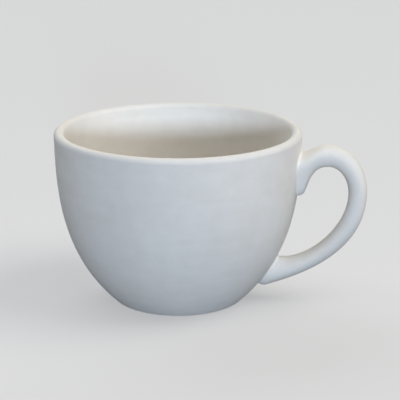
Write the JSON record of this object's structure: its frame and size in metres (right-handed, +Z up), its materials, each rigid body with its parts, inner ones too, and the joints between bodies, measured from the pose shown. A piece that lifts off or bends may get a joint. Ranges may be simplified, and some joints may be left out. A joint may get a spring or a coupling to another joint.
{
  "type": "cappuccino cup",
  "caption": "Wide round-bottomed cappuccino cup of unglazed white ceramic, with a rounded lip, a low foot ring and a loop handle luted to its side.",
  "frame": {"origin": "centre of the foot ring, on the bowl's axis and on the surface that the cup stands on", "axes": "+Z up along the bowl's axis, +X towards the handle, +Y to the left seen from behind the handle looking at the bowl"},
  "size_m": [0.1443, 0.114, 0.0804],
  "materials": {
    "bisque": "matte unglazed bisque, warm white with a fine dry grain",
    "slip": "matte fired slip, sponged smooth"
  },
  "bodies": {
    "root": {"cup_bowl": "bisque", "handle": "bisque", "upper_slip_joint": "slip", "lower_slip_joint": "slip"}
  },
  "joints": []
}
